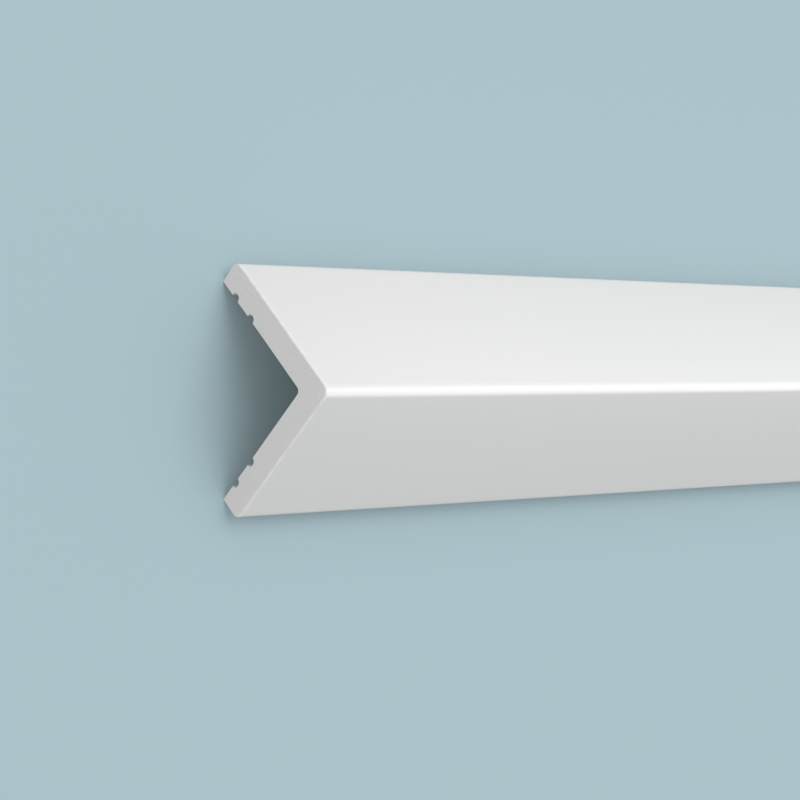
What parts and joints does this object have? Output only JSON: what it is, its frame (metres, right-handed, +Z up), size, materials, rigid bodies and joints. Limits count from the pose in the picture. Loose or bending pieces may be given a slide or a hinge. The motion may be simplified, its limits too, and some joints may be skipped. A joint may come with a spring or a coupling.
{
  "type": "corner guard moulding",
  "caption": "Straight equal-leg corner guard moulding with a rounded nose, square leg ends and glue grooves along its back faces.",
  "frame": {"origin": "on the floor at mid length, under the nose; the moulding lies as a ridge on the back corners of its two legs", "axes": "+X along the length, +Y square to it across both legs, +Z up through the nose"},
  "size_m": [2, 0.0482, 0.0278],
  "materials": {
    "primed_foam": "satin"
  },
  "bodies": {
    "root": {"corner_guard": "primed_foam"}
  },
  "joints": []
}
